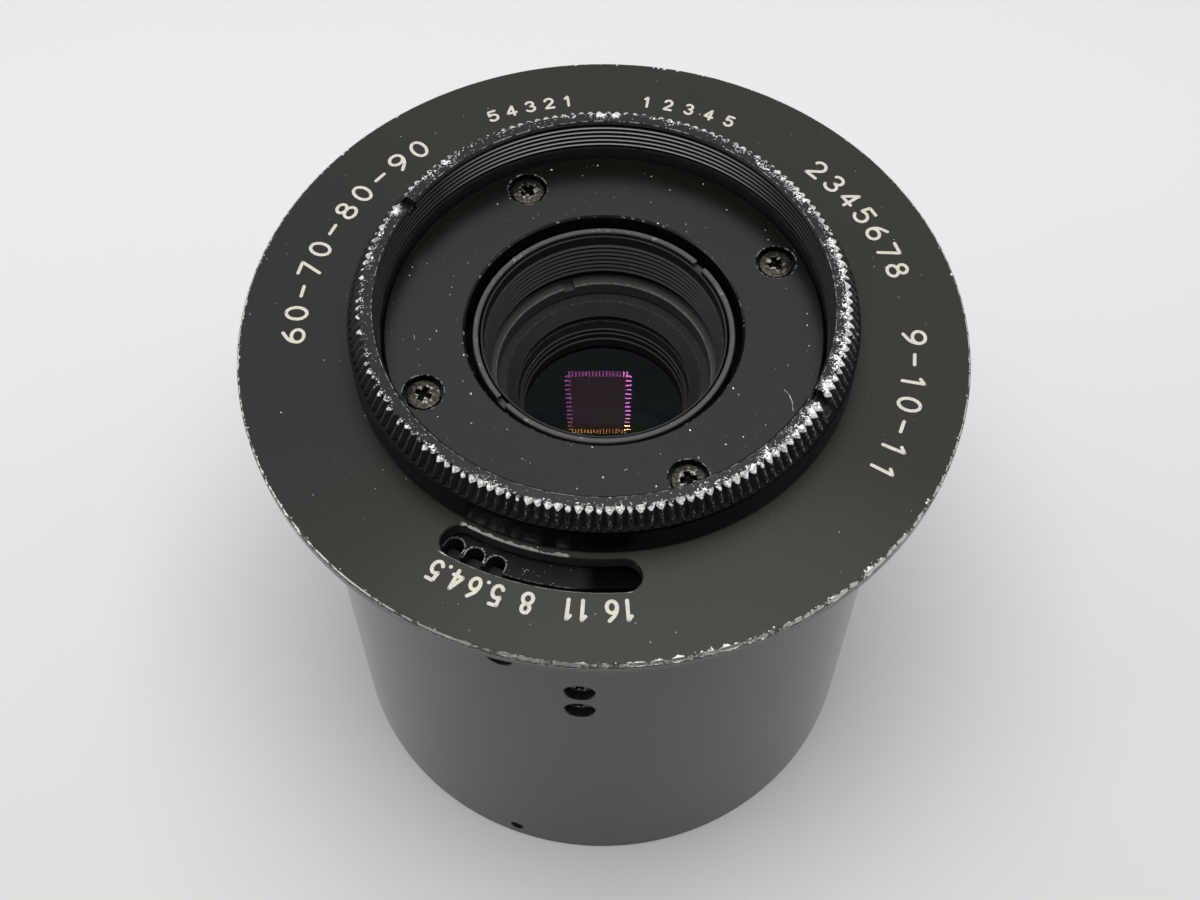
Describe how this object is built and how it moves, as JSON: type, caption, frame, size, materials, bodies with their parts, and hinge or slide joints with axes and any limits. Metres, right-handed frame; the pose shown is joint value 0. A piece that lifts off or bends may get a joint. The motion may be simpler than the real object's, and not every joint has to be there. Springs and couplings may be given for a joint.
{
  "type": "enlarger lens",
  "caption": "Black zoom printing lens: flanged barrel, knurled front ring, recessed lens tube and an aperture scale beside a curved slot.",
  "frame": {"origin": "centre of the rear rim, on the surface that the barrel stands on", "axes": "+Z along the optical axis towards the knurled ring, -Y through the aperture scale and its slot"},
  "size_m": [0.09, 0.09, 0.0882],
  "materials": {
    "flange_black": "matte",
    "barrel_black": "satin",
    "ring_black": "satin",
    "baffle_black": "matte",
    "machined_aluminium": "satin",
    "screw_steel": "satin",
    "brass": "satin",
    "blade_steel": "satin",
    "coated_glass": "polished"
  },
  "bodies": {
    "housing": {"front_flange": "flange_black", "outer_barrel": "barrel_black", "rear_ring": "ring_black", "guide_tube": "machined_aluminium", "face_plate": "flange_black", "face_screw_1": "screw_steel", "face_screw_2": "screw_steel", "face_screw_3": "screw_steel", "face_screw_4": "screw_steel", "barrel_screw_1": "screw_steel", "barrel_screw_2": "screw_steel", "barrel_screw_3": "screw_steel", "stop_screw_upper": "screw_steel", "stop_screw_lower": "screw_steel", "stop_block": "brass", "set_screw_1": "screw_steel", "set_screw_2": "screw_steel", "set_screw_3": "screw_steel", "aperture_retainer": "machined_aluminium", "friction_washer": "brass"},
    "zoom_barrel": {"zoom_ring": "ring_black", "cam_sleeve": "brass", "zoom_ring_grub": "screw_steel"},
    "aperture_control": {"aperture_ring": "ring_black", "aperture_drive_bar": "brass", "drive_bar_screw": "screw_steel"},
    "front_group": {"front_lens_tube": "ring_black", "ridged_baffle": "baffle_black", "cell_retaining_ring": "baffle_black", "stepped_baffle": "baffle_black", "front_element": "coated_glass", "front_spacer": "baffle_black", "second_element": "coated_glass", "front_follower_1": "brass", "front_follower_2": "brass", "front_follower_3": "brass"},
    "rear_group": {"rear_carrier": "machined_aluminium", "iris_housing": "ring_black", "third_element": "coated_glass", "fourth_element": "coated_glass", "fifth_element": "coated_glass", "rear_spacer": "baffle_black", "rear_retaining_ring": "baffle_black", "tail_retaining_ring": "baffle_black", "rear_follower_1": "brass", "rear_follower_2": "brass", "rear_follower_3": "brass"},
    "iris_ring": {"iris_drive_ring": "brass"},
    "blade_1": {"iris_blade_1": "blade_steel"},
    "blade_2": {"iris_blade_2": "blade_steel"},
    "blade_3": {"iris_blade_3": "blade_steel"},
    "blade_4": {"iris_blade_4": "blade_steel"},
    "blade_5": {"iris_blade_5": "blade_steel"},
    "blade_6": {"iris_blade_6": "blade_steel"}
  },
  "joints": [
    {"name": "zoom_turn", "type": "hinge", "parent": "housing", "child": "zoom_barrel", "pos_m": [0, 0, 0.0812], "axis": [0, 0, 1], "range_deg": [-22, 33]},
    {"name": "front_travel", "type": "slide", "parent": "housing", "child": "front_group", "axis": [0, 0, 1], "range_m": [-0.00199, 0.00298]},
    {"name": "rear_travel", "type": "slide", "parent": "housing", "child": "rear_group", "axis": [0, 0, 1], "range_m": [-0.00463, 0.00309]},
    {"name": "aperture_turn", "type": "hinge", "parent": "housing", "child": "aperture_control", "pos_m": [0, 0, 0.0773], "axis": [0, 0, 1], "range_deg": [0, 30.5]},
    {"name": "iris_turn", "type": "hinge", "parent": "rear_group", "child": "iris_ring", "pos_m": [0, 0, 0.02318], "axis": [0, 0, 1], "range_deg": [-0.05, 30.55]},
    {"name": "blade_1_swing", "type": "hinge", "parent": "rear_group", "child": "blade_1", "pos_m": [0.0182, 0, 0.01912], "axis": [0, 0, 1], "range_deg": [-0.05, 23.75]},
    {"name": "blade_2_swing", "type": "hinge", "parent": "rear_group", "child": "blade_2", "pos_m": [0.0091, 0.01576, 0.01968], "axis": [0, 0, 1], "range_deg": [-0.05, 23.75]},
    {"name": "blade_3_swing", "type": "hinge", "parent": "rear_group", "child": "blade_3", "pos_m": [-0.0091, 0.01576, 0.02022], "axis": [0, 0, 1], "range_deg": [-0.05, 23.75]},
    {"name": "blade_4_swing", "type": "hinge", "parent": "rear_group", "child": "blade_4", "pos_m": [-0.0182, 0, 0.02077], "axis": [0, 0, 1], "range_deg": [-0.05, 23.75]},
    {"name": "blade_5_swing", "type": "hinge", "parent": "rear_group", "child": "blade_5", "pos_m": [-0.0091, -0.01576, 0.02133], "axis": [0, 0, 1], "range_deg": [-0.05, 23.75]},
    {"name": "blade_6_swing", "type": "hinge", "parent": "rear_group", "child": "blade_6", "pos_m": [0.0091, -0.01576, 0.02187], "axis": [0, 0, 1], "range_deg": [-0.05, 23.75]}
  ],
  "couplings": [
    {"joint": "front_travel", "follows": "zoom_turn", "m_per_rad": 0.0051566},
    {"joint": "rear_travel", "follows": "zoom_turn", "m_per_rad": -0.0080214},
    {"joint": "iris_turn", "follows": "aperture_turn", "ratio": 1},
    {"joint": "blade_1_swing", "follows": "aperture_turn", "ratio": 0.77708},
    {"joint": "blade_2_swing", "follows": "aperture_turn", "ratio": 0.77708},
    {"joint": "blade_3_swing", "follows": "aperture_turn", "ratio": 0.77708},
    {"joint": "blade_4_swing", "follows": "aperture_turn", "ratio": 0.77708},
    {"joint": "blade_5_swing", "follows": "aperture_turn", "ratio": 0.77708},
    {"joint": "blade_6_swing", "follows": "aperture_turn", "ratio": 0.77708}
  ]
}
